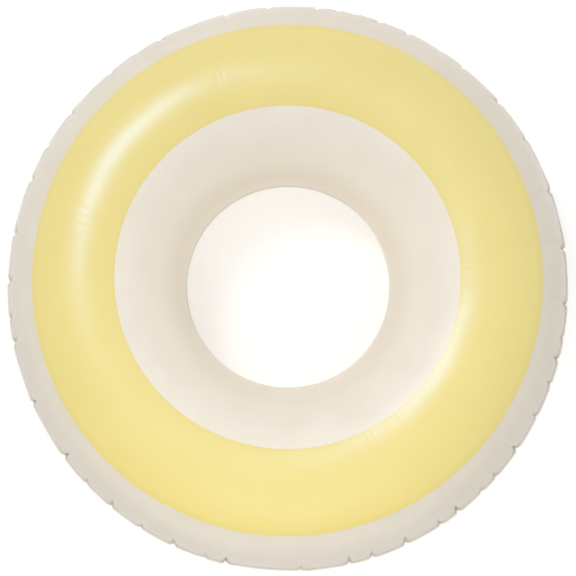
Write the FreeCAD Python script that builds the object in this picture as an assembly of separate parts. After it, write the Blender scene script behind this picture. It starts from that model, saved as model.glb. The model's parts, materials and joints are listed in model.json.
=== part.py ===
import FreeCAD, Part
import math
import os

# An inflated swim ring, lying flat. Two annular vinyl sheets are welded together along an outer and an
# inner seam, and the air between them swells them into a round tube. A one-way valve is welded into
# the underside. All sizes are in millimetres.
# Frame: +Z is the ring's axis, pointing up. The origin is the centre of the foot that it lies on.

# Ring
overall_diameter = 1100.0     # across the lip of the outer seam
hole_diameter = 392.0         # across the hole, between the lips of the inner seam
outer_lip = 3.0               # how far the outer seam stands out from the tube
inner_lip = 2.0               # how far the inner seam stands into the hole
lip_thickness = 2.0
weld_thickness = 1.0          # of a seam's root, between the edges of the two skins
wall = 1.0                    # thickness of the vinyl skins
foot_flattening = 1.5         # how far the ring's weight flattens its underside

# Printed band on the upper skin, as angles of the tube's section from straight up, outwards positive
band_inner_angle = -14.5
band_outer_angle = 42.0
print_thickness = 0.5

# Valve, on the outer half of the underside
valve_azimuth = -67.5         # round the ring, from +X towards +Y
valve_section_angle = 45.0    # from straight down, outwards
flange_radius = 20.0
flange_opening_radius = 15.0  # the recess that the stem is pushed into
stowed_height = 5.0           # of the stem's lip above the skin, when it is pushed in
flange_height = 0.2           # above the skin at the valve's axis
flange_depth = 2.4            # below it
weld_ridge_radii = (16.6, 18.4)
weld_ridge_width = 0.6
weld_ridge_height = 0.3
web_thickness = 0.8
web_outer_depth = 1.5         # below the skin, where the web leaves the flange
web_inner_depth = 8.5         # where it meets the pushed-in stem

# The stem, plug, tether and flap are measured from the stem's lip
seat_radius = 4.1             # the bore's mouth, which holds the plug
seat_depth = 6.4
throat_radius = 3.8           # the rest of the bore, which a pump's nozzle seals in
stem_radius = 6.0
stem_length = 18.0
lip_radius = 6.6
lip_height = 1.2
moving_gap = 0.15             # between valve pieces that move past each other

cap_radius = 7.0
cap_thickness = 1.5
peg_length = 6.0
peg_root_radius = 3.95
peg_tip_radius = 3.4
pull_tab_reach = 11.0         # from the valve's axis
pull_tab_width = 6.0
pull_tab_thickness = 1.0

hinge_reach = 11.0            # from the valve's axis to the plug's hinge line
hinge_drop = 2.0              # below the lip of the stem
knuckle_radius = 1.0
strap_half_width = 1.3
strap_thickness = 1.0
fork_side_gap = 0.2
fork_arm_width = 1.2
fork_arm_thickness = 1.2
collar_radius = 7.2
collar_height = 1.6

flap_radius = 5.4
flap_thickness = 0.8
flap_hinge_reach = 7.0        # from the valve's axis, on the side away from the plug's hinge
flap_knuckle_radius = 0.6
flap_tab_half_width = 2.0
flap_lug_height = 1.2
flap_lug_gap = 0.35

# Worked out from the sizes above
weld_half = weld_thickness / 2
outer_radius = overall_diameter / 2
hole_radius = hole_diameter / 2
tube_outer = outer_radius - outer_lip
tube_inner = hole_radius + inner_lip
section_radius = (tube_outer - tube_inner) / 2
ring_radius = (tube_outer + tube_inner) / 2
centre_height = section_radius - foot_flattening

origin = FreeCAD.Vector(0, 0, 0)
up = FreeCAD.Vector(0, 0, 1)


def section_point(angle, radius, side=1):
    """A point of the tube's section. The angle is from straight up, or from straight down when side is -1."""
    turn = math.radians(angle)
    x = ring_radius + radius * math.sin(turn)
    return FreeCAD.Vector(x, 0, centre_height + side * radius * math.cos(turn))


def section_arc(start, end, radius, side=1):
    middle = section_point((start + end) / 2, radius, side)
    return Part.Arc(section_point(start, radius, side), middle, section_point(end, radius, side)).toShape()


def line(start, end):
    return Part.LineSegment(start, end).toShape()


def revolve(edges):
    """The solid swept by a closed outline in the XZ plane, turned round the Z axis."""
    return Part.Face(Part.Wire(edges)).revolve(origin, up, 360)


def turned(points):
    """A turned solid whose half outline is a list of (radius, height) points."""
    corners = [FreeCAD.Vector(radius, 0, height) for radius, height in points]
    return revolve([line(a, b) for a, b in zip(corners, corners[1:] + corners[:1])])


def box(x_range, y_range, z_range):
    size = [high - low for low, high in (x_range, y_range, z_range)]
    return Part.makeBox(*size, FreeCAD.Vector(x_range[0], y_range[0], z_range[0]))


def cross_pin(x, z, radius, y_low, y_high):
    """A round pin along Y."""
    return Part.makeCylinder(radius, y_high - y_low, FreeCAD.Vector(x, y_low, z), FreeCAD.Vector(0, 1, 0))


def place_on_valve(shape, height=0.0):
    """Moves a piece from the valve's frame, +Z outwards and +X along the ring, to this height over the skin."""
    azimuth = math.radians(valve_azimuth)
    lean = math.radians(valve_section_angle)
    outwards = FreeCAD.Vector(math.cos(azimuth), math.sin(azimuth), 0)
    normal = outwards * math.sin(lean) - up * math.cos(lean)
    along = FreeCAD.Vector(-math.sin(azimuth), math.cos(azimuth), 0)
    centre = outwards * ring_radius + up * centre_height + normal * (section_radius + height)
    placed = shape.copy()
    placed.Placement = FreeCAD.Placement(centre, FreeCAD.Rotation(along, normal.cross(along), normal))
    return placed


def skin_end_angle(radius):
    """Where the skin stops at the flat side of the seams' roots."""
    return math.degrees(math.acos(weld_half / radius))


def foot_angle(radius, height):
    """Where the flattened foot, at this height, cuts the section."""
    return math.degrees(math.acos((centre_height - height) / radius))


def make_upper_skin():
    inside = section_radius - wall
    outer_end = skin_end_angle(section_radius)
    inner_end = skin_end_angle(inside)
    outer_arc = section_arc(-outer_end, outer_end, section_radius)
    inner_arc = section_arc(-inner_end, inner_end, inside)
    hole_side = line(section_point(-outer_end, section_radius), section_point(-inner_end, inside))
    rim_side = line(section_point(outer_end, section_radius), section_point(inner_end, inside))
    return revolve([outer_arc, rim_side, inner_arc, hole_side])


def flattened_arc(radius, height):
    """The lower half of the section, with a flat foot at this height, as edges, and its two end points."""
    end = skin_end_angle(radius)
    foot = foot_angle(radius, height)
    edges = [
        section_arc(-end, -foot, radius, -1),
        line(section_point(-foot, radius, -1), section_point(foot, radius, -1)),
        section_arc(foot, end, radius, -1),
    ]
    return edges, section_point(-end, radius, -1), section_point(end, radius, -1)


def make_lower_skin():
    outside, outside_hole, outside_rim = flattened_arc(section_radius, 0)
    inside, inside_hole, inside_rim = flattened_arc(section_radius - wall, wall)
    edges = outside + [line(outside_rim, inside_rim)] + inside[::-1] + [line(inside_hole, outside_hole)]
    skin = revolve(Part.__sortEdges__(edges))
    valve_cut = Part.makeCylinder(flange_radius, 12, FreeCAD.Vector(0, 0, -6))
    return skin.cut(place_on_valve(valve_cut))


def make_seam(root_edge, tube_surface, lip_edge):
    """A thin root between the edges of the skins, and a thicker lip that stands out of the tube."""
    half_outline = [
        (root_edge, weld_half),
        (tube_surface, weld_half),
        (tube_surface, lip_thickness / 2),
        (lip_edge, lip_thickness / 2),
    ]
    above = [(radius, centre_height + height) for radius, height in half_outline]
    below = [(radius, centre_height - height) for radius, height in half_outline]
    return turned(above + below[::-1])


def make_printed_band():
    top = section_radius + print_thickness
    outer_arc = section_arc(band_inner_angle, band_outer_angle, top)
    inner_arc = section_arc(band_inner_angle, band_outer_angle, section_radius)
    hole_side = line(section_point(band_inner_angle, section_radius), section_point(band_inner_angle, top))
    rim_side = line(section_point(band_outer_angle, section_radius), section_point(band_outer_angle, top))
    return revolve([hole_side, outer_arc, rim_side, inner_arc])


def make_valve_flange():
    low = -flange_depth
    flange = turned([
        (flange_opening_radius, low),
        (flange_radius, low),
        (flange_radius, flange_height),
        (flange_opening_radius, flange_height),
    ])
    for middle in weld_ridge_radii:
        inner = middle - weld_ridge_width / 2
        outer = middle + weld_ridge_width / 2
        top = flange_height + weld_ridge_height
        flange = flange.fuse(turned([(inner, low), (outer, low), (outer, top), (inner, top)]))
    return flange.removeSplitter()


def make_valve_web():
    half = web_thickness / 2
    inner = stem_radius + moving_gap
    return turned([
        (flange_opening_radius, half - web_outer_depth),
        (inner, half - web_inner_depth),
        (inner, -half - web_inner_depth),
        (flange_opening_radius, -half - web_outer_depth),
    ])


def make_valve_stem():
    tube = turned([
        (throat_radius, -stem_length),
        (stem_radius, -stem_length),
        (stem_radius, -lip_height),
        (lip_radius, -lip_height),
        (lip_radius, 0),
        (seat_radius, 0),
        (seat_radius, -seat_depth),
        (throat_radius, -seat_depth),
    ])
    lug_low = -stem_length + flap_lug_gap
    wall_middle = (throat_radius + stem_radius) / 2
    lug_end = flap_hinge_reach + flap_knuckle_radius
    lug = box(
        (-lug_end, -wall_middle),
        (-flap_tab_half_width, flap_tab_half_width),
        (lug_low, lug_low + flap_lug_height),
    )
    return tube.fuse(lug).removeSplitter()


def make_plug_tether():
    collar = turned([
        (stem_radius, -lip_height - collar_height),
        (collar_radius, -lip_height - collar_height),
        (collar_radius, -lip_height),
        (stem_radius, -lip_height),
    ])
    strap = box(
        ((stem_radius + collar_radius) / 2, hinge_reach),
        (-strap_half_width, strap_half_width),
        (-hinge_drop - strap_thickness / 2, -hinge_drop + strap_thickness / 2),
    )
    knuckle = cross_pin(hinge_reach, -hinge_drop, knuckle_radius, -strap_half_width, strap_half_width)
    return collar.fuse([strap, knuckle]).removeSplitter()


def make_fork_arm(y_low, y_high):
    end = hinge_reach + knuckle_radius
    top = moving_gap + fork_arm_thickness
    reach = box((cap_radius / 2, end), (y_low, y_high), (moving_gap, top))
    drop = box((hinge_reach - knuckle_radius, end), (y_low, y_high), (-hinge_drop, top))
    eye = cross_pin(hinge_reach, -hinge_drop, knuckle_radius, y_low, y_high)
    return reach.fuse([drop, eye])


def make_valve_plug():
    top = moving_gap + cap_thickness
    bevel = cap_thickness / 3
    plug = turned([
        (0, top),
        (cap_radius - bevel, top),
        (cap_radius, top - bevel),
        (cap_radius, moving_gap),
        (peg_root_radius, moving_gap),
        (peg_tip_radius, -peg_length),
        (0, -peg_length),
    ])
    near = strap_half_width + fork_side_gap
    far = near + fork_arm_width
    pull_tab = box(
        (-pull_tab_reach, -cap_radius / 2),
        (-pull_tab_width / 2, pull_tab_width / 2),
        (moving_gap, moving_gap + pull_tab_thickness),
    )
    return plug.fuse([make_fork_arm(near, far), make_fork_arm(-far, -near), pull_tab]).removeSplitter()


def make_valve_flap():
    top = -stem_length - moving_gap
    low = top - flap_thickness
    disc = Part.makeCylinder(flap_radius, flap_thickness, FreeCAD.Vector(0, 0, low))
    tab = box(
        (-flap_hinge_reach, -flap_radius / 2),
        (-flap_tab_half_width, flap_tab_half_width),
        (low, top),
    )
    middle = (low + top) / 2
    half = flap_tab_half_width
    knuckle = cross_pin(-flap_hinge_reach, middle, flap_knuckle_radius, -half, half)
    return disc.fuse([tab, knuckle]).removeSplitter()


pieces = {
    "upper_skin": make_upper_skin(),
    "printed_band": make_printed_band(),
    "lower_skin": make_lower_skin(),
    "outer_seam": make_seam(tube_outer - wall, tube_outer, outer_radius),
    "inner_seam": make_seam(tube_inner + wall, tube_inner, hole_radius),
    "valve_flange": place_on_valve(make_valve_flange()),
    "valve_web": place_on_valve(make_valve_web()),
    "valve_stem": place_on_valve(make_valve_stem(), stowed_height),
    "plug_tether": place_on_valve(make_plug_tether(), stowed_height),
    "valve_plug": place_on_valve(make_valve_plug(), stowed_height),
    "valve_flap": place_on_valve(make_valve_flap(), stowed_height),
}

os.makedirs("parts", exist_ok=True)
for name, shape in pieces.items():
    print(name, "valid", shape.isValid(), "solids", len(shape.Solids), "volume", round(shape.Volume, 1))
    shape.exportStep("parts/" + name + ".step")
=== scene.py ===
import json
import math
import random

import bmesh
import bpy
import numpy as np
from mathutils import Matrix, Vector


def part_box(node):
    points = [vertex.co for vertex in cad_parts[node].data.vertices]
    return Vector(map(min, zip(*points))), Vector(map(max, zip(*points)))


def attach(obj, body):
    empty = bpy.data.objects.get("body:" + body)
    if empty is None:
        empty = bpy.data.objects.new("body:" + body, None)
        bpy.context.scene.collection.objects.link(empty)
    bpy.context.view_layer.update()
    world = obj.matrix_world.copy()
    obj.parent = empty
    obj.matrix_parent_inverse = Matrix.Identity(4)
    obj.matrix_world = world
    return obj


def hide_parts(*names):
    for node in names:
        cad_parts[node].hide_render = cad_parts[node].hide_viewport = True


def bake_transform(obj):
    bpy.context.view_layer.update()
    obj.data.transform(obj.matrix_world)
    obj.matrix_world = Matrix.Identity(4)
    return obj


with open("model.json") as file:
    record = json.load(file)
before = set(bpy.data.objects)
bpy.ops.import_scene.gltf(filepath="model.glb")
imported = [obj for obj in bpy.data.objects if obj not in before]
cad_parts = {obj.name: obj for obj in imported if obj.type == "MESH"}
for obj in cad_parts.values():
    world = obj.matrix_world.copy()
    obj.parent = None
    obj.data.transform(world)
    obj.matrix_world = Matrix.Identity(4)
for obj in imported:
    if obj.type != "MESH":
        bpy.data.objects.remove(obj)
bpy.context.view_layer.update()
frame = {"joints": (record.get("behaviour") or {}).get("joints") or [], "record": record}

MM = 0.001
TURN = 2 * math.pi

# The ring's main sizes, in metres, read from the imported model
seam_low, seam_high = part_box("outer_seam")
skin_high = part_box("upper_skin")[1]
mounts = {mount["name"]: mount for mount in frame["record"]["mounts"]}
joints = {joint["name"]: joint for joint in frame["joints"]}

SEAM_HEIGHT = (seam_low.z + seam_high.z) / 2
TUBE_OUTER = skin_high.x
OUTER_LIP = seam_high.x - TUBE_OUTER
SECTION_RADIUS = skin_high.z - SEAM_HEIGHT
RING_RADIUS = TUBE_OUTER - SECTION_RADIUS
TUBE_INNER = RING_RADIUS - SECTION_RADIUS
INNER_LIP = TUBE_INNER - mounts["body_hole"]["dims"]["r_mm"] * MM

# The valve's own frame: X along the ring, Y along its hinge lines, Z out of the skin
VALVE_OUT = Vector(joints["stem_slide"]["axis"]).normalized()
VALVE_ACROSS = Vector(joints["plug_hinge"]["axis"]).normalized()
VALVE_ALONG = VALVE_ACROSS.cross(VALVE_OUT)
HINGE_REACH = 11.0 * MM       # from the valve's axis to the plug's hinge line
HINGE_HEIGHT = 3.0 * MM       # of that line over the skin
plug_hinge = Vector(joints["plug_hinge"]["pos_m"])
VALVE = plug_hinge - VALVE_ALONG * HINGE_REACH - VALVE_OUT * HINGE_HEIGHT
STEM_LIP = 5.0                # in the valve's millimetres, over the skin, when the stem is pushed in
STEM_LENGTH = 18.0
WEB_OUTER = -1.5              # where the flexible web leaves the flange
WEB_INNER = -8.5              # and where it meets the stem

VALVE_SEAT = -0.4 * MM        # height of the flattened skin round the valve
VALVE_SEAT_RADIUS = 23 * MM
VALVE_SEAT_END = 50 * MM      # where the skin is round again
VALVE_HOLE = 17.5 * MM        # in the lower skin, under the flange
VALVE_WINDOW = 30 * MM        # the part of the lower skin that is meshed as rings round that hole

# Vinyl
WALL = 0.8 * MM
SEAM_HALF = 0.45 * MM         # half the thickness of the two welded sheets
SEAM_ROOT = 1.0 * MM          # how far the weld reaches in between the skins
PRINT_TOP = 0.25 * MM         # of the print over the skin
PRINT_ROOT = -0.1 * MM
PRINT_FROM = 49.1             # borders of the print, in degrees up round the section from the outer seam
PRINT_TO = 106.7
CROWN_LEAN = 7.0 * MM         # how far the air pushes the crown outwards from the middle of the tube
FOOT_SOFTNESS = 0.6 * MM      # how gently the skin turns into the flat foot

# Where the outer seam is drawn in: depth, and degrees round the ring from +X towards +Y
PUCKERS = {
    6.2 * MM: (7.7, 64.8, 217.3, 246.2, 257.2, 294.4, 306.9, 324.4),
    4.9 * MM: (20, 41.5, 51.7, 71.2, 84.3, 102.9, 117.3, 129.5, 141, 157.3, 169.1, 178.9, 191.6, 204.4,
               231.4, 282.4, 287.2, 344.6, 356.2),
    3.4 * MM: (32, 79.8, 94.2, 149.4, 224.2, 238.6, 272.5, 302.5, 313.2, 317.3, 332.2, 339.6),
    2.2 * MM: (57.3, 76.4, 122.6, 186.3, 253.1, 349.2),
}
PUCKER_WIDTH = 9.5 * MM       # from the bottom of a pucker to where the seam is back out beside it
PINCH = 0.15                  # how much deeper than the seam's notch the crease is just inside it
PINCH_RUN = 8 * MM
PUCKER_REACH = 27 * MM        # how fast a crease fades as it runs over the skin
LIFT_REACH = 9 * MM           # how far along the seam a pucker lifts or lowers it
CREASE_SPREAD = 40 * MM       # the run over which a crease doubles its width
FOLD_SHARE = 0.55             # of the sharp line that runs on up the skin, against its pucker's depth
FOLD_START = 12 * MM
FOLD_REACH = 70 * MM
FOLD_WIDTH = 3.4 * MM
BRANCH_SHARE = 0.3            # of the two lines that fan out beside the crease, against its pucker's depth
BRANCH_START = 16 * MM
BRANCH_REACH = 30 * MM
BRANCH_WIDTH = 5.0 * MM
BRANCH_SLANT = 0.45
PILLOW_HEIGHT = 0.7 * MM      # of the skin between two creases
PILLOW_MIDDLE = 30 * MM
LOBE_FLATTENING = 0.45        # how far a stretch of rim between two puckers is a chord
RIDGE = 4.2 * MM              # how far the two sheets run out to a blunt ridge at the outer seam
RIDGE_RUN = 20 * MM

# Slow waves of the skin: height, waves round the ring, waves round the section, and phase in radians
OUT_OF_ROUND = (
    (-4.3 * MM, 2, 0, math.pi / 2), (1.0 * MM, 2, 0, 0.0),
    (-1.0 * MM, 3, 0, math.pi / 2), (1.2 * MM, 1, 0, 0.0),
)
SWELLS = ((0.22 * MM, 5, 3, 0.0), (0.22 * MM, 9, -4, 1.0), (0.132 * MM, 17, 6, 2.0))
SEAM_DRIFT = ((1.0 * MM, 3, 0, 0.6), (0.7 * MM, 7, 0, 2.1), (0.4 * MM, 16, 0, 0.0))
LIP_RUFFLE = ((0.35 * MM, 41, 0, 0.0), (0.35 * MM, 67, 0, 1.0))

# A few faint pleats across the crown: degrees round the ring, degrees up the section, and depth
PLEATS = (
    (107.9, 79, 0.28 * MM), (109.4, 80, 0.28 * MM),
    (161.5, 80, 0.15 * MM), (163.6, 82, 0.18 * MM), (166.0, 82, 0.13 * MM),
    (2.0, 97, 0.20 * MM), (3.8, 98, 0.20 * MM),
    (308.5, 99, 0.19 * MM), (310.2, 99, 0.17 * MM), (296.5, 98, 0.17 * MM), (298.5, 99, 0.19 * MM),
)
PLEAT_LENGTH = 20 * MM
PLEAT_WIDTH = 4.5 * MM


# ---- The shape of the inflated ring ----

def smooth_step(low, high, value):
    """From 0 at low to 1 at high, level at both ends."""
    share = np.clip((value - low) / (high - low), 0, 1)
    return share * share * (3 - 2 * share)


def waves(table, azimuth, angle=0.0):
    """The sum of a table of waves at this azimuth, and this angle up round the section."""
    return sum(
        height * np.sin(round_ring * azimuth + round_section * angle + phase)
        for height, round_ring, round_section, phase in table
    )


def make_pucker_list():
    """One entry for each pucker round the ring, with the small differences that no two of them share."""
    rng = random.Random(11)
    places = sorted((place, depth) for depth, group in PUCKERS.items() for place in group)
    return [
        {
            "azimuth": math.radians(place),
            "depth": depth,
            "skew": rng.uniform(-0.45, 0.45),
            "slant": rng.uniform(-0.12, 0.12),
            "step": rng.uniform(-0.7, 0.7) * MM,
            "reach": rng.uniform(0.75, 1.35),
            "lift": rng.uniform(-1.0, 1.0) * MM,
        }
        for place, depth in places
    ]


pucker_list = make_pucker_list()


def turn_from(azimuth, place):
    """The signed angle from a place on the ring, from minus to plus half a turn."""
    return (azimuth - place + math.pi) % TURN - math.pi


def creases(azimuth, run):
    """How deep the puckers draw the skin in, at this azimuth and this far from the outer seam."""
    depth = np.zeros(np.broadcast(azimuth, run).shape)
    pinch = 1 + PINCH * smooth_step(0, PINCH_RUN, run)
    for pucker in pucker_list:
        across = turn_from(azimuth, pucker["azimuth"]) * TUBE_OUTER - pucker["slant"] * run
        side = 1 + pucker["skew"] * np.sign(across)
        width = PUCKER_WIDTH * side * (1 + run / CREASE_SPREAD)
        fade = pinch * np.exp(-run / (PUCKER_REACH * pucker["reach"]))
        depth += pucker["depth"] * fade * np.clip(1 - np.abs(across) / width, 0, 1) ** 2
        fold_fade = smooth_step(0, FOLD_START, run) * np.exp(-(run / (FOLD_REACH * pucker["reach"])) ** 2)
        depth += FOLD_SHARE * pucker["depth"] * fold_fade * np.exp(-(across / FOLD_WIDTH) ** 2)
        branch_fade = smooth_step(0, BRANCH_START, run) * np.exp(-run / BRANCH_REACH)
        for hand in (-1, 1):
            beside = across - hand * BRANCH_SLANT * run
            depth += BRANCH_SHARE * pucker["depth"] * branch_fade * np.exp(-(beside / BRANCH_WIDTH) ** 2)
    return depth


def lobes(azimuth, run):
    """How far the stretches between the puckers stand out. At the seam they are flatter than the circle, with
    steps from one to the next, and further up the skin they are low pillows."""
    rise = np.zeros(np.broadcast(azimuth, run).shape)
    at_seam = np.exp(-run / PUCKER_REACH)
    pillow = PILLOW_HEIGHT * np.exp(-((run - PILLOW_MIDDLE) / PILLOW_MIDDLE) ** 2)
    for here, following in zip(pucker_list, pucker_list[1:] + pucker_list[:1]):
        span = (following["azimuth"] - here["azimuth"]) % TURN
        share = ((azimuth - here["azimuth"]) % TURN) / span
        inside = share <= 1
        share = np.where(inside, share, 0)
        hump = 4 * share * (1 - share)
        sagitta = (span * TUBE_OUTER) ** 2 / (8 * TUBE_OUTER)
        step = here["step"] * (1 - share) ** 2 - following["step"] * share ** 2
        rise += np.where(inside, at_seam * (step - LOBE_FLATTENING * sagitta * hump) + pillow * hump, 0)
    return rise


def pleats(azimuth, angle):
    """How deep the faint pleats across the crown are here."""
    depth = np.zeros(np.broadcast(azimuth, angle).shape)
    for place, height, deepest in PLEATS:
        section = math.radians(height)
        reach = RING_RADIUS + SECTION_RADIUS * math.cos(section)
        across = turn_from(azimuth, math.radians(place)) * reach
        along = (angle - section) * SECTION_RADIUS
        depth += deepest * np.exp(-(along / PLEAT_LENGTH) ** 2 - (across / PLEAT_WIDTH) ** 2)
    return depth


def relief(azimuth, angle):
    """How far the skin stands out from the plain round tube."""
    run = np.abs(angle) * SECTION_RADIUS
    outer_half = np.clip(np.cos(angle), 0, 1)
    ridge = RIDGE * (np.exp(-run / RIDGE_RUN) - 1) * outer_half ** 2
    swell = waves(SWELLS, azimuth, angle) * np.sin(np.abs(angle)) ** 2
    rise = waves(OUT_OF_ROUND, azimuth) * outer_half + ridge + swell
    return rise + lobes(azimuth, run) - creases(azimuth, run) - pleats(azimuth, angle)


def seam_wander(azimuth):
    """How far the outer seam strays up or down on its way round."""
    lift = sum(
        pucker["lift"] * np.exp(-np.abs(turn_from(azimuth, pucker["azimuth"])) * TUBE_OUTER / LIFT_REACH)
        for pucker in pucker_list
    )
    return waves(SEAM_DRIFT, azimuth) + lift


def rest_on_floor(level):
    """The ring's weight flattens it where it lies, so no point goes below the floor."""
    return (level + np.sqrt(level ** 2 + FOOT_SOFTNESS ** 2)) / 2


def valve_distance(points):
    """How far points are from the valve's axis, and how high over the skin there."""
    offset = points - np.array(VALVE)
    height = offset @ np.array(VALVE_OUT)
    sideways = offset - height[..., None] * np.array(VALVE_OUT)
    return np.linalg.norm(sideways, axis=-1), height


def seat_for_valve(points):
    """The skin is flat where the stiff flange of the valve is welded to it."""
    distance, height = valve_distance(points)
    near = np.abs(height) < VALVE_SEAT_END
    share = np.where(near, 1 - smooth_step(VALVE_SEAT_RADIUS, VALVE_SEAT_END, distance), 0)
    return points - ((height - VALVE_SEAT) * share)[..., None] * np.array(VALVE_OUT)


def tube_points(azimuth, angle, rise):
    """Points at a height over the plain tube, whose crown leans outwards."""
    lean = CROWN_LEAN * np.clip(np.sin(angle), 0, 1) ** 2
    radius = RING_RADIUS + (SECTION_RADIUS + rise) * np.cos(angle) + lean
    level = SEAM_HEIGHT + (SECTION_RADIUS + rise) * np.sin(angle)
    return np.stack([radius * np.cos(azimuth), radius * np.sin(azimuth), level], axis=-1)


def skin_points(azimuth, angle, height=0.0):
    """Points of the ring's skin, or at a height over it. The azimuth goes round the ring, and the angle goes
    up round the section from the outer seam, below it negative. By the valve the skin is calm and flat."""
    azimuth, angle = np.broadcast_arrays(azimuth, angle)
    distance, height_there = valve_distance(tube_points(azimuth, angle, 0))
    far_side = height_there < -VALVE_SEAT_END
    calm = np.where(far_side, 1, smooth_step(VALVE_SEAT_RADIUS, 2 * VALVE_SEAT_END, distance))
    points = tube_points(azimuth, angle, relief(azimuth, angle) * calm + height)
    points[..., 2] += seam_wander(azimuth) * np.clip(np.cos(angle), 0, 1) ** 2 * calm
    points[..., 2] = rest_on_floor(points[..., 2])
    return seat_for_valve(points)


def add_apart(chosen, place, gap):
    """Adds a place in degrees to the chosen ones, unless one of them is nearer than the gap."""
    if all(abs((place - other + 180) % 360 - 180) > gap for other in chosen):
        chosen.append(place)


def make_azimuths():
    """The ring's columns: even ones, and closer ones at each pucker, where the skin bends sharply."""
    beside_pucker = (0, 0.1, 0.22, 0.4, 0.65, 1.0, 1.4)
    beside_pleat = (0, 0.3, 0.6, 0.9)
    least_gap, even_gap, even_step = 0.08, 0.3, 0.75
    places = [(math.degrees(pucker["azimuth"]), beside_pucker) for pucker in pucker_list]
    places += [(place, beside_pleat) for place, _, _ in PLEATS]
    chosen = []
    for place, beside in places:
        for step in sorted({hand * step for step in beside for hand in (-1, 1)}):
            add_apart(chosen, (place + step) % 360, least_gap)
    for count in range(round(360 / even_step)):
        add_apart(chosen, even_step * count, even_gap)
    return np.radians(np.array(sorted(chosen)))


AZIMUTHS = make_azimuths()


def angle_steps(*stretches):
    """Angles in radians along (start, end, count) stretches in degrees, each starting where the last ends."""
    angles = [np.linspace(start, end, count, endpoint=False) for start, end, count in stretches]
    return np.radians(np.concatenate(angles + [[stretches[-1][1]]]))


# ---- Making meshes ----

def add_to_scene(name, data):
    made = bpy.data.objects.new(name, data)
    bpy.context.scene.collection.objects.link(made)
    return made


def new_object(name, points, faces):
    """A smooth mesh of these points, in the scene."""
    mesh = bpy.data.meshes.new(name)
    mesh.from_pydata(np.asarray(points).reshape(-1, 3).tolist(), [], faces)
    mesh.validate()
    mesh.shade_smooth()
    return add_to_scene(name, mesh)


def object_from_bmesh(name, shape):
    mesh = bpy.data.meshes.new(name)
    shape.to_mesh(mesh)
    shape.free()
    return add_to_scene(name, mesh)


def face_outwards(made, merge=0.0):
    """Turns all faces outwards, after joining points that are closer than merge."""
    shape = bmesh.new()
    shape.from_mesh(made.data)
    if merge:
        bmesh.ops.remove_doubles(shape, verts=shape.verts, dist=merge)
    bmesh.ops.recalc_face_normals(shape, faces=shape.faces)
    shape.to_mesh(made.data)
    shape.free()
    return made


def grid_faces(rows, columns, close_rows):
    """Quads over a grid of points that is closed round its columns, and round its rows if asked."""
    last = rows if close_rows else rows - 1
    row, column = np.meshgrid(np.arange(last), np.arange(columns), indexing="ij")
    following_row = (row + 1) % rows
    following_column = (column + 1) % columns
    corners = [
        row * columns + column,
        row * columns + following_column,
        following_row * columns + following_column,
        following_row * columns + column,
    ]
    return np.stack(corners, axis=-1).reshape(-1, 4).tolist()


def ring_solid(name, sections):
    """A closed solid all round the ring, from the points of its section at each azimuth, in order."""
    made = new_object(name, np.stack(sections), grid_faces(len(sections), len(AZIMUTHS), True))
    made.data.set_sharp_from_angle(angle=math.radians(40))
    return made


def film(name, shown_angles, hidden_angles, top, root):
    """A thin solid over the skin, between two heights. The side that is hidden needs fewer rows."""
    shown = [skin_points(AZIMUTHS, angle, top) for angle in shown_angles]
    hidden = [skin_points(AZIMUTHS, angle, root) for angle in hidden_angles[::-1]]
    return ring_solid(name, shown + hidden)


def apply_modifiers(made):
    """Replaces the object's mesh by what its modifiers make of it."""
    graph = bpy.context.evaluated_depsgraph_get()
    mesh = bpy.data.meshes.new_from_object(made.evaluated_get(graph))
    made.modifiers.clear()
    old = made.data
    made.data = mesh
    bpy.data.meshes.remove(old)
    mesh.name = made.name
    return made


# ---- The ring's pieces ----

EDGE = math.degrees(SEAM_HALF / SECTION_RADIUS)   # the skins begin beside the welded root of the seams


def make_upper_skin():
    """Its rows are closest by the outer seam, where the creases are."""
    ends = (EDGE, 30, PRINT_FROM, PRINT_TO, 180 - EDGE)
    shown = angle_steps(*zip(ends, ends[1:], (20, 7, 22, 18)))
    hidden = angle_steps(*zip(ends, ends[1:], (8, 3, 7, 8)))
    return film("upper_skin_blown", shown, hidden, 0, -WALL)


def make_print():
    """The yellow layer, which lies on the upper skin between two round borders."""
    shown = angle_steps((PRINT_FROM, PRINT_TO, 44))
    hidden = angle_steps((PRINT_FROM, PRINT_TO, 22))
    return film("yellow_print", shown, hidden, PRINT_TOP, PRINT_ROOT)


def make_seam(name, edge_points, outwards, lip, root):
    """A welded lip: two sheets thick, rounded at its free edge, and slightly ruffled."""
    ruffle = waves(LIP_RUFFLE, AZIMUTHS) * (1 if outwards else 0.2)
    bend = SEAM_HALF * 0.5
    outline = [
        (-root, -SEAM_HALF), (0, -SEAM_HALF), (lip * 0.5, -SEAM_HALF), (lip - bend, -SEAM_HALF),
        (lip - bend * 0.3, -SEAM_HALF * 0.75), (lip, -SEAM_HALF * 0.3),
        (lip, SEAM_HALF * 0.3), (lip - bend * 0.3, SEAM_HALF * 0.75),
        (lip - bend, SEAM_HALF), (lip * 0.5, SEAM_HALF), (0, SEAM_HALF), (-root, SEAM_HALF),
    ]
    direction = np.stack([np.cos(AZIMUTHS), np.sin(AZIMUTHS), 0 * AZIMUTHS], axis=-1)
    if not outwards:
        outline = outline[::-1]
        direction = -direction
    upwards = np.array([0, 0, 1.0])
    sections = []
    for reach, rise in outline:
        wave = ruffle * max(reach / lip, 0)
        sections.append(edge_points + direction * reach + (rise + wave)[:, None] * upwards)
    return ring_solid(name, sections)


def make_outer_seam():
    return make_seam("outer_weld", skin_points(AZIMUTHS, 0.0), True, OUTER_LIP, SEAM_ROOT)


def make_inner_seam():
    return make_seam("inner_weld", skin_points(AZIMUTHS, math.pi), False, INNER_LIP, SEAM_ROOT)


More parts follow.
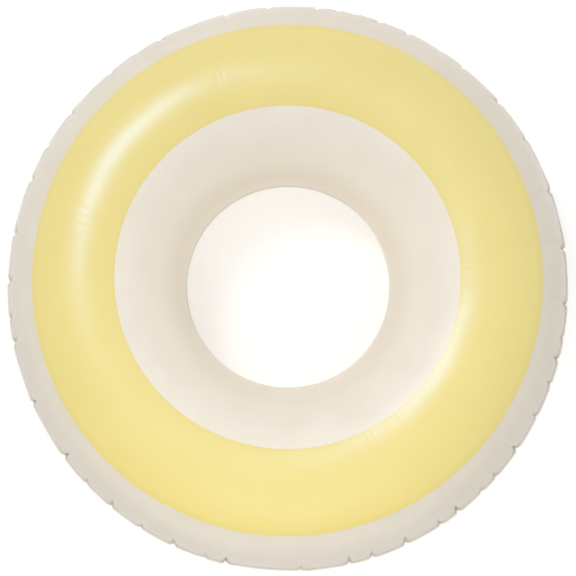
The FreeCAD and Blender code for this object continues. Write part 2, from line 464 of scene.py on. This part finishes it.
def valve_window(grid):
    """The first and last row and the first and last column of the stretch of grid round the valve."""
    distance, height = valve_distance(grid)
    near = (distance < VALVE_WINDOW) & (np.abs(height) < VALVE_SEAT_END)
    rows = np.flatnonzero(near.any(axis=1))
    columns = np.flatnonzero(near.any(axis=0))
    return rows[0], rows[-1], columns[0], columns[-1]


def window_border(low_row, high_row, low_column, high_column):
    """The (row, column) places round the window's border, in order."""
    border = [(low_row, column) for column in range(low_column, high_column)]
    border += [(row, high_column) for row in range(low_row, high_row)]
    border += [(high_row, column) for column in range(high_column, low_column, -1)]
    border += [(row, low_column) for row in range(high_row, low_row, -1)]
    return border


def valve_hole_points(border_points):
    """The edge of the valve's hole, with one point opposite each point of the window's border."""
    offset = border_points - np.array(VALVE)
    turn = np.arctan2(offset @ np.array(VALVE_ACROSS), offset @ np.array(VALVE_ALONG))
    along = np.outer(np.cos(turn), VALVE_HOLE * np.array(VALVE_ALONG))
    across = np.outer(np.sin(turn), VALVE_HOLE * np.array(VALVE_ACROSS))
    return np.array(VALVE) + along + across + VALVE_SEAT * np.array(VALVE_OUT)


def rings_round_hole(hole, border_azimuth, border_angle, count):
    """Rings of skin points that turn from the round hole into the window's border, without the border."""
    spread = 1.2              # over 1, so that the rings are closest by the hole
    hole_azimuth = np.unwrap(np.arctan2(hole[:, 1], hole[:, 0])) % TURN
    hole_angle = np.arctan2(hole[:, 2] - SEAM_HEIGHT, np.hypot(hole[:, 0], hole[:, 1]) - RING_RADIUS)
    rings = [hole]
    for step in range(1, count):
        share = (step / count) ** spread
        azimuth = hole_azimuth * (1 - share) + border_azimuth * share
        angle = hole_angle * (1 - share) + border_angle * share
        rings.append(skin_points(azimuth, angle))
    return rings


def make_lower_skin():
    """One sheet of points with a round hole for the valve, then thickened to a closed skin. Its rows are
    closer towards the outer seam."""
    angles = angle_steps((EDGE - 180, -62, 15), (-62, -30, 11), (-30, -EDGE, 13))
    grid = skin_points(AZIMUTHS[None, :], angles[:, None])
    rows, columns = len(angles), len(AZIMUTHS)
    low_row, high_row, low_column, high_column = valve_window(grid)
    border = window_border(low_row, high_row, low_column, high_column)
    hole = valve_hole_points(np.array([grid[place] for place in border]))
    border_azimuth = AZIMUTHS[[column for _, column in border]]
    border_angle = angles[[row for row, _ in border]]
    rings = rings_round_hole(hole, border_azimuth, border_angle, 5)

    faces = [
        face for face in grid_faces(rows, columns, False)
        if not (low_row <= face[0] // columns < high_row and low_column <= face[0] % columns < high_column)
    ]
    around = len(border)
    ring_indices = (rows * columns + np.arange(len(rings) * around)).reshape(-1, around).tolist()
    ring_indices.append([row * columns + column for row, column in border])
    for inner, outer in zip(ring_indices, ring_indices[1:]):
        for place in range(around):
            following = (place + 1) % around
            faces.append([inner[place], outer[place], outer[following], inner[following]])

    skin = new_object("lower_skin_blown", np.concatenate([grid.reshape(-1, 3)] + rings), faces)
    thicken = skin.modifiers.new("wall", "SOLIDIFY")
    thicken.thickness = WALL
    thicken.offset = -1
    return apply_modifiers(skin)


# ---- The valve's pieces, in millimetres in its own frame ----

def place_on_valve(made, lift=0.0):
    """Moves a mesh made in the valve's millimetres to its place, raised by lift."""
    axes = Matrix((VALVE_ALONG, VALVE_ACROSS, VALVE_OUT)).transposed().to_4x4()
    matrix = Matrix.Translation(VALVE) @ axes @ Matrix.Scale(MM, 4) @ Matrix.Translation((0, 0, lift))
    made.data.transform(matrix)
    made.data.update()
    return made


def round_corners(outline, radius, steps):
    """The outline with each corner turned into a small curve."""
    rounded = []
    corners = [Vector(point) for point in outline]
    for before, corner, after in zip(corners[-1:] + corners[:-1], corners, corners[1:] + corners[:1]):
        back, ahead = before - corner, after - corner
        cut = min(radius, 0.45 * back.length, 0.45 * ahead.length)
        start, end = corner + back.normalized() * cut, corner + ahead.normalized() * cut
        for step in range(steps + 1):
            share = step / steps
            rounded.append(start * (1 - share) ** 2 + corner * 2 * share * (1 - share) + end * share ** 2)
    return [tuple(point) for point in rounded]


def turned(name, outline):
    """A solid of revolution about the valve's axis. The outline is (radius, height), anticlockwise, and the
    points that fall together on the axis are joined."""
    around = 96
    turns = np.arange(around) * TURN / around
    points = [
        np.stack([radius * np.cos(turns), radius * np.sin(turns), 0 * turns + height], axis=-1)
        for radius, height in outline
    ]
    solid = new_object(name, np.stack(points), grid_faces(len(outline), around, True))
    return face_outwards(solid, merge=1e-4)


def block(name, x_range, y_range, z_range, bevel):
    """A box between the two ends of each range, its edges rounded by the bevel."""
    low, high = (Vector(corner) for corner in zip(x_range, y_range, z_range))
    shape = bmesh.new()
    bmesh.ops.create_cube(shape, size=1.0)
    for vertex in shape.verts:
        vertex.co = [(low[k] + high[k]) / 2 + vertex.co[k] * (high[k] - low[k]) for k in range(3)]
    bmesh.ops.bevel(shape, geom=shape.edges[:], offset=bevel, segments=3, affect="EDGES", profile=0.5)
    return object_from_bmesh(name, shape)


def moulded(name, parts, voxel, rounds):
    """Joins overlapping solids into one moulding, with small fillets smoothed in where they meet."""
    joined = bmesh.new()
    for part in parts:
        joined.from_mesh(part.data)
        bpy.data.objects.remove(part)
    made = object_from_bmesh(name, joined)
    remesh = made.modifiers.new("join", "REMESH")
    remesh.mode = "VOXEL"
    remesh.voxel_size = voxel
    relax = made.modifiers.new("fillet", "SMOOTH")
    relax.factor = 0.5
    relax.iterations = rounds
    apply_modifiers(made)
    made.data.shade_smooth()
    return made


def sharp_where_turned(made):
    made.data.shade_smooth()
    made.data.set_sharp_from_angle(angle=math.radians(50))
    return made


FLANGE_RADIUS = 20.0
FLANGE_OPENING = 15.0
FLANGE_TOP = 0.2
FLANGE_BOTTOM = -2.4


def make_flange():
    """A disc welded to the skin, with a neck in the skin's hole and two low ridges round its top."""
    seat = VALVE_SEAT / MM
    neck = VALVE_HOLE / MM - 0.3
    ridge = 0.3
    outline = [(FLANGE_OPENING, FLANGE_BOTTOM), (neck, FLANGE_BOTTOM), (neck, seat - 0.05),
               (FLANGE_RADIUS, seat - 0.05), (FLANGE_RADIUS, seat + 0.25), (19.4, FLANGE_TOP)]
    for middle in (18.4, 16.6):
        outline += [(middle + 0.45, FLANGE_TOP), (middle + 0.2, FLANGE_TOP + ridge),
                    (middle - 0.2, FLANGE_TOP + ridge), (middle - 0.45, FLANGE_TOP)]
    outline += [(15.6, FLANGE_TOP), (15.25, FLANGE_TOP - 0.05), (FLANGE_OPENING, FLANGE_TOP - 0.4)]
    flange = turned("valve_flange_moulding", round_corners(outline, 0.18, 3))
    return place_on_valve(sharp_where_turned(flange))


def make_web():
    """A thin cone with a soft fold at each end, so that it can turn inside out as the stem is pulled."""
    half_thickness = 0.35
    in_flange = FLANGE_OPENING + 0.2
    in_stem = 5.8
    middle = []
    for share in np.linspace(0, 1, 25):
        radius = in_flange + (in_stem - in_flange) * share
        height = WEB_OUTER + (WEB_INNER - WEB_OUTER) * smooth_step(0.0, 1.0, share)
        middle.append((radius, height))
    outline = [(radius, height - half_thickness) for radius, height in middle[::-1]]
    outline += [(radius, height + half_thickness) for radius, height in middle]
    return place_on_valve(sharp_where_turned(turned("valve_web_membrane", outline[::-1])))


def make_stem():
    """The tube that the air goes through, with its lip, a step in its bore, and the lug of the flap."""
    outline = [
        (3.8, -STEM_LENGTH), (6.0, -STEM_LENGTH), (6.0, -1.2), (6.6, -1.0), (6.6, 0.0), (4.1, 0.0),
        (4.1, -6.4), (3.8, -6.7),
    ]
    tube = turned("stem_tube", round_corners(outline, 0.35, 4))
    lug = block("stem_lug", (-7.6, -5.0), (-2.0, 2.0), (-STEM_LENGTH + 0.35, -STEM_LENGTH + 1.55), 0.25)
    return place_on_valve(moulded("valve_stem_moulding", [tube, lug], voxel=0.18, rounds=4), STEM_LIP)


def make_plug():
    """The cap with its raised rim, the peg that closes the bore, and the ribbed tab that it is pulled by."""
    outline = [
        (0.0, -6.0), (3.4, -6.0), (3.95, 0.0), (3.95, 0.15), (7.0, 0.15), (7.0, 1.2), (6.6, 1.65),
        (5.7, 1.65), (5.4, 1.3), (0.0, 1.45),
    ]
    cap = turned("plug_cap", outline)
    tab = block("plug_tab", (-11.0, -5.0), (-3.0, 3.0), (0.15, 1.15), 0.35)
    ribs = [
        block("plug_rib", (-10.3 + 1.1 * count, -9.8 + 1.1 * count), (-2.3, 2.3), (0.9, 1.5), 0.1)
        for count in range(3)
    ]
    return place_on_valve(moulded("valve_plug_moulding", [cap, tab] + ribs, voxel=0.15, rounds=4), STEM_LIP)


def make_tether():
    """A collar clipped under the stem's lip, and the flexible strap that turns back to the plug."""
    collar_outline = [(6.05, -2.8), (7.2, -2.8), (7.2, -1.25), (6.05, -1.25)]
    collar = turned("tether_collar", round_corners(collar_outline, 0.25, 3))
    path = [(6.8, -2.0), (8.5, -2.0), (10.0, -2.0)]
    centre = Vector((10.6, -0.65))
    bend = 1.35
    for step in range(9):
        turn = math.radians(-90 + 180 * step / 8)
        path.append((centre.x + bend * math.cos(turn), centre.y + bend * math.sin(turn)))
    path += [(9.6, 0.7), (8.2, 0.7), (6.6, 0.7)]
    strap = swept_strap("tether_strap", path, half_width=1.6, half_thickness=0.42)
    return place_on_valve(moulded("valve_tether", [collar, strap], voxel=0.16, rounds=4), STEM_LIP)


def swept_strap(name, path, half_width, half_thickness):
    """A flat strap along a path of (x, z) points, its corners rounded."""
    section = round_corners([
        (-half_width, -half_thickness), (half_width, -half_thickness),
        (half_width, half_thickness), (-half_width, half_thickness),
    ], half_thickness * 0.8, 3)
    points = []
    for place, (x, z) in enumerate(path):
        before = Vector(path[max(place - 1, 0)])
        after = Vector(path[min(place + 1, len(path) - 1)])
        ahead = (after - before).normalized()
        normal = Vector((-ahead.y, ahead.x))
        points.append([(x + normal.x * rise, across, z + normal.y * rise) for across, rise in section])
    faces = grid_faces(len(path), len(section), False)
    faces.append(list(range(len(section)))[::-1])
    faces.append([(len(path) - 1) * len(section) + place for place in range(len(section))])
    return face_outwards(new_object(name, points, faces))


def make_flap():
    """A disc over the stem's inner end, with the tab that it hangs by."""
    top = -STEM_LENGTH - 0.15
    low = top - 0.8
    disc = turned("flap_disc", [(0.0, low), (5.4, low), (5.4, top), (0.0, top)])
    tab = block("flap_tab", (-7.5, -4.0), (-2.0, 2.0), (low, top), 0.2)
    return place_on_valve(moulded("valve_flap_moulding", [disc, tab], voxel=0.16, rounds=3), STEM_LIP)


# ---- Materials ----

class Finish:
    """A material built round one Principled shader, with short calls for its nodes."""

    def __init__(self, name, **constants):
        self.material = bpy.data.materials.new(name)
        self.material.use_nodes = True
        self.tree = self.material.node_tree
        self.shader = self.tree.nodes["Principled BSDF"]
        for socket, value in constants.items():
            self.shader.inputs[socket.replace("_", " ")].default_value = value
        self.place = self.node("ShaderNodeTexCoord").outputs["Object"]

    def node(self, kind, inputs=None, **settings):
        made = self.tree.nodes.new(kind)
        for setting, value in settings.items():
            setattr(made, setting, value)
        for socket, value in (inputs or {}).items():
            if isinstance(value, bpy.types.NodeSocket):
                self.tree.links.new(value, made.inputs[socket])
            else:
                made.inputs[socket].default_value = value
        return made

    def noise(self, scale, detail=2.0):
        inputs = {"Vector": self.place, "Scale": scale, "Detail": detail, "Roughness": 0.5}
        return self.node("ShaderNodeTexNoise", inputs).outputs["Fac"]

    def remap(self, value, low, high, to_low, to_high, smooth=False):
        inputs = {"Value": value, "From Min": low, "From Max": high, "To Min": to_low, "To Max": to_high}
        kind = "SMOOTHSTEP" if smooth else "LINEAR"
        return self.node("ShaderNodeMapRange", inputs, interpolation_type=kind).outputs["Result"]

    def math(self, operation, first, second=0.0):
        return self.node("ShaderNodeMath", {0: first, 1: second}, operation=operation).outputs[0]

    def mix(self, share, first, second):
        made = self.node("ShaderNodeMix", data_type="RGBA")
        wanted = (("Factor", "VALUE", share), ("A", "RGBA", first), ("B", "RGBA", second))
        for name, kind, value in wanted:
            socket = next(socket for socket in made.inputs if socket.name == name and socket.type == kind)
            if isinstance(value, bpy.types.NodeSocket):
                self.tree.links.new(value, socket)
            else:
                socket.default_value = value
        return next(socket for socket in made.outputs if socket.type == "RGBA")

    def mottle(self, scale, detail=2.0):
        """Cloudy patches of that scale, from 0 to 1."""
        return self.remap(self.noise(scale, detail), 0.3, 0.7, 0.0, 1.0, smooth=True)

    def bump(self, height, strength, distance, normal=None):
        inputs = {"Height": height, "Strength": strength, "Distance": distance}
        if normal is not None:
            inputs["Normal"] = normal
        return self.node("ShaderNodeBump", inputs).outputs["Normal"]

    def section_angle(self):
        """Degrees up round the tube's section from the outer seam, at each point of the surface."""
        axes = self.node("ShaderNodeSeparateXYZ", {"Vector": self.place}).outputs
        square_x = self.math("MULTIPLY", axes["X"], axes["X"])
        square_y = self.math("MULTIPLY", axes["Y"], axes["Y"])
        reach = self.math("SUBTRACT", self.math("SQRT", self.math("ADD", square_x, square_y)), RING_RADIUS)
        rise = self.math("SUBTRACT", axes["Z"], SEAM_HEIGHT)
        return self.math("MULTIPLY", self.math("ARCTAN2", rise, reach), 180 / math.pi)

    def set(self, socket, value):
        self.tree.links.new(value, self.shader.inputs[socket])


def colour(red, green, blue):
    """A linear colour with full alpha."""
    return (red, green, blue, 1.0)


def vinyl_surface(finish, roughness_low, roughness_high, grain):
    """The fine calendered grain, faint orange peel and uneven gloss of soft vinyl sheet."""
    smear = finish.noise(9.0, detail=3.0)
    finish.set("Roughness", finish.remap(smear, 0.25, 0.75, roughness_low, roughness_high, smooth=True))
    peel = finish.bump(finish.noise(55.0), 0.35, 0.12 * MM)
    finish.set("Normal", finish.bump(finish.noise(900.0, detail=1.0), grain, 0.05 * MM, peel))


# How the cream's painted light and shade change up round the section: degrees where it starts and is done,
# its share there before and after, and its linear colour
CREAM_ZONES = (
    (6.0, 46.0, 1.0, 0.0, colour(0.52, 0.467, 0.387)),        # painted shade: the rim darker towards the outer seam
    (118.0, 142.0, 0.0, 0.8, colour(0.82, 0.755, 0.645)),     # painted light: the wall of the hole lighter
    (146.0, 165.0, 0.0, 0.8, colour(0.785, 0.705, 0.585)),    # painted shade: warmer and darker down to the inner seam
)
# Painted shade: the cream from the print out to the outer seam is darker and greyer than by the hole
CREAM_SHADED_BY_SEAM = (colour(0.662, 0.605, 0.503), colour(0.687, 0.628, 0.525))
CREAM_BY_HOLE = (colour(0.752, 0.696, 0.598), colour(0.776, 0.722, 0.626))
CREAM_RIM_SHADE = colour(0.53, 0.478, 0.405)     # painted shade, in patches right beside the outer seam


def make_cream_vinyl():
    """Cream vinyl, whitest by the hole, with painted light and shade: painted light on the wall of the hole,
    warmer painted shade down to the inner seam, and painted shade that greys and darkens it towards the outer
    seam.
    """
    finish = Finish("cream_vinyl", IOR=1.5, Specular_IOR_Level=0.3, Coat_Weight=0.12, Coat_Roughness=0.22)
    mottle = finish.mottle(14.0, 3.0)
    near_hole = finish.mix(mottle, *CREAM_BY_HOLE)
    shaded_near_seam = finish.mix(mottle, *CREAM_SHADED_BY_SEAM)
    angle = finish.math("ABSOLUTE", finish.section_angle())
    # Painted shade: darker, greyer cream from the print out to the outer seam
    base = finish.mix(finish.remap(angle, 50.0, 104.0, 0.0, 1.0, smooth=True), shaded_near_seam, near_hole)
    for start, end, before, after, tone in CREAM_ZONES:
        share = finish.remap(angle, start, end, before, after, smooth=True)
        base = finish.mix(share, base, tone)
    # Painted shade, in patches right beside the outer seam
    rim = finish.remap(angle, 0.4, 3.5, 1.0, 0.0, smooth=True)
    patches = finish.remap(finish.noise(38.0), 0.42, 0.66, 0.0, 1.0, smooth=True)
    rim_shade = finish.math("MULTIPLY", rim, finish.math("MULTIPLY", patches, 0.7))
    finish.set("Base Color", finish.mix(rim_shade, base, CREAM_RIM_SHADE))
    vinyl_surface(finish, 0.28, 0.36, 0.12)
    return finish.material


def make_yellow_print():
    """A glossy print. Its gloss is tinted against the yellow, so that the highlight stays a pale cream."""
    finish = Finish("yellow_print", IOR=1.6, Specular_IOR_Level=0.98, Specular_Tint=colour(0.26, 0.50, 1.0))
    base = finish.mix(finish.mottle(11.0, 3.0), colour(0.818, 0.672, 0.197), colour(0.831, 0.684, 0.207))
    middle = (PRINT_FROM + PRINT_TO) / 2
    half = (PRINT_TO - PRINT_FROM) / 2
    from_middle = finish.math("ABSOLUTE", finish.math("SUBTRACT", finish.section_angle(), middle))
    from_border = finish.math("SUBTRACT", half, from_middle)
    edge = finish.remap(from_border, 0.0, 5.0, 1.0, 0.0, smooth=True)
    finish.set("Base Color", finish.mix(edge, base, colour(0.799, 0.651, 0.17)))
    vinyl_surface(finish, 0.285, 0.32, 0.10)
    return finish.material


def make_seam_vinyl():
    """Welded sheets with the fine ribs that the welding tool presses in. Their cream is painted light:
    lighter than the skin's, against the shade the lip lies in beside the tube.
    """
    finish = Finish("seam_vinyl", IOR=1.5, Coat_Weight=0.15, Coat_Roughness=0.3)
    mottle = finish.mottle(60.0)
    # Painted light: a lighter cream than the skin's, against the shade the lip lies in
    finish.set("Base Color", finish.mix(mottle, colour(0.84, 0.80, 0.74), colour(0.87, 0.83, 0.765)))
    axes = finish.node("ShaderNodeSeparateXYZ", {"Vector": finish.place}).outputs
    round_ring = finish.math("ARCTAN2", axes["Y"], axes["X"])
    rib_pitch = 1.6 * MM
    ribs = finish.math("SINE", finish.math("MULTIPLY", round_ring, TURN * TUBE_OUTER / rib_pitch))
    finish.set("Roughness", finish.remap(finish.noise(25.0), 0.3, 0.7, 0.42, 0.5))
    finish.set("Normal", finish.bump(ribs, 0.3, 0.1 * MM))
    return finish.material


def make_valve_vinyl():
    """A soft, slightly translucent moulding."""
    finish = Finish("valve_vinyl", IOR=1.5, Subsurface_Weight=0.35, Subsurface_Scale=2 * MM,
                    Coat_Weight=0.2, Coat_Roughness=0.25)
    mottle = finish.mottle(160.0, 3.0)
    finish.set("Base Color", finish.mix(mottle, colour(0.80, 0.775, 0.715), colour(0.84, 0.815, 0.755)))
    finish.set("Roughness", finish.remap(finish.noise(220.0), 0.3, 0.7, 0.3, 0.4))
    finish.set("Normal", finish.bump(finish.noise(420.0), 0.25, 0.06 * MM))
    return finish.material


def make_floor_finish():
    """White, seen from above only, so that the underside can be looked at."""
    material = bpy.data.materials.new("studio_floor")
    material.use_nodes = True
    tree = material.node_tree
    tree.nodes.clear()
    diffuse = tree.nodes.new("ShaderNodeBsdfDiffuse")
    diffuse.inputs["Color"].default_value = colour(FLOOR_WHITE, FLOOR_WHITE, FLOOR_WHITE)
    glow = tree.nodes.new("ShaderNodeEmission")
    glow.inputs["Strength"].default_value = FLOOR_GLOW
    lit = tree.nodes.new("ShaderNodeAddShader")
    clear = tree.nodes.new("ShaderNodeBsdfTransparent")
    side = tree.nodes.new("ShaderNodeNewGeometry")
    choose = tree.nodes.new("ShaderNodeMixShader")
    output = tree.nodes.new("ShaderNodeOutputMaterial")
    tree.links.new(diffuse.outputs[0], lit.inputs[0])
    tree.links.new(glow.outputs[0], lit.inputs[1])
    tree.links.new(side.outputs["Backfacing"], choose.inputs[0])
    tree.links.new(lit.outputs[0], choose.inputs[1])
    tree.links.new(clear.outputs[0], choose.inputs[2])
    tree.links.new(choose.outputs[0], output.inputs["Surface"])
    return material


# ---- Stage, light and camera ----

CAMERA_LENS = 225.0           # in millimetres, as the sensor
CAMERA_SENSOR = 36.0
CAMERA_DISTANCE = 7.0
CAMERA_AIM = Vector((-0.2 * MM, -2.2 * MM, SEAM_HEIGHT))
TILT_BACK = math.radians(6.9)     # of the view from straight down, towards -Y
TILT_SIDE = math.radians(0.5)     # and towards +X

# Each softbox: the way to it from the ring's middle, its distance and side in metres, and its power in watts
KEY_SOFTBOX = ((-0.335, 0.338, 0.879), 12.0, 3.7, 335.0)
NEAR_FILL = ((0.0, -0.75, 0.7), 1.9, 1.0, 8.7)
TENT_EVEN = 0.62              # strength of the light from all sides
TENT_LEAN = (0.045, 0.22, 0.26)   # and how it grows along X, Y and Z
FLOOR_WHITE = 0.9
FLOOR_GLOW = 0.29             # the floor's own light, so that it shows as the photo's pure white
FLOOR_HALF = 20.0             # half its side, in metres


def make_camera():
    data = bpy.data.cameras.new("camera")
    data.lens = CAMERA_LENS
    data.sensor_width = CAMERA_SENSOR
    camera = add_to_scene("camera", data)
    back = Vector((math.sin(TILT_SIDE), -math.sin(TILT_BACK), math.cos(TILT_BACK))).normalized()
    right = Vector((0, 1, 0)).cross(back).normalized()
    turned_axes = Matrix((right, back.cross(right), back)).transposed().to_4x4()
    camera.matrix_world = Matrix.Translation(CAMERA_AIM + back * CAMERA_DISTANCE) @ turned_axes
    bpy.context.scene.camera = camera


def make_softbox(name, direction, distance, size, power):
    """A square area light that faces the ring's middle."""
    data = bpy.data.lights.new(name, "AREA")
    data.shape = "SQUARE"
    data.size = size
    data.energy = power
    light = add_to_scene(name, data)
    target = Vector((0, 0, SEAM_HEIGHT))
    towards = Vector(direction).normalized()
    light.location = target + towards * distance
    light.rotation_mode = "QUATERNION"
    light.rotation_quaternion = towards.to_track_quat("Z", "Y")
    return light


def make_world(even, towards):
    """A white studio tent: even light, plus light that grows towards one side."""
    world = bpy.data.worlds.new("studio")
    world.use_nodes = True
    tree = world.node_tree
    background = tree.nodes["Background"]
    background.inputs["Color"].default_value = colour(1.0, 1.0, 1.0)
    direction = tree.nodes.new("ShaderNodeTexCoord")
    lean = tree.nodes.new("ShaderNodeVectorMath")
    lean.operation = "DOT_PRODUCT"
    lean.inputs[1].default_value = towards
    total = tree.nodes.new("ShaderNodeMath")
    total.operation = "ADD"
    total.inputs[1].default_value = even
    tree.links.new(direction.outputs["Generated"], lean.inputs[0])
    tree.links.new(lean.outputs["Value"], total.inputs[0])
    tree.links.new(total.outputs[0], background.inputs["Strength"])
    bpy.context.scene.world = world


def make_floor():
    corners = [(FLOOR_HALF * x, FLOOR_HALF * y, 0) for x, y in ((-1, -1), (1, -1), (1, 1), (-1, 1))]
    floor = new_object("studio_floor", corners, [[0, 1, 2, 3]])
    floor.data.materials.append(make_floor_finish())


make_camera()
make_floor()
make_world(TENT_EVEN, TENT_LEAN)
make_softbox("key_softbox", *KEY_SOFTBOX)
make_softbox("near_fill", *NEAR_FILL).visible_glossy = False
bpy.context.scene.view_settings.view_transform = "Standard"

finishes = {
    "cream_vinyl": make_cream_vinyl(),
    "yellow_print": make_yellow_print(),
    "seam_vinyl": make_seam_vinyl(),
    "valve_vinyl": make_valve_vinyl(),
}


def finish_piece(made, node, slot):
    made.data.materials.clear()
    made.data.materials.append(finishes[slot])
    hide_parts(node)


rigid_pieces = (
    (make_upper_skin(), "upper_skin", "cream_vinyl", "ring"),
    (make_print(), "printed_band", "yellow_print", "ring"),
    (make_lower_skin(), "lower_skin", "cream_vinyl", "ring"),
    (make_outer_seam(), "outer_seam", "seam_vinyl", "ring"),
    (make_inner_seam(), "inner_seam", "seam_vinyl", "ring"),
    (make_flange(), "valve_flange", "valve_vinyl", "ring"),
    (make_stem(), "valve_stem", "valve_vinyl", "stem"),
    (make_plug(), "valve_plug", "valve_vinyl", "plug"),
    (make_flap(), "valve_flap", "valve_vinyl", "flap"),
)
for made, node, slot, body in rigid_pieces:
    finish_piece(made, node, slot)
    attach(made, body)

web = make_web()
finish_piece(web, "valve_web", "valve_vinyl")
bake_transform(web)

tether = make_tether()
finish_piece(tether, "plug_tether", "valve_vinyl")
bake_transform(tether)
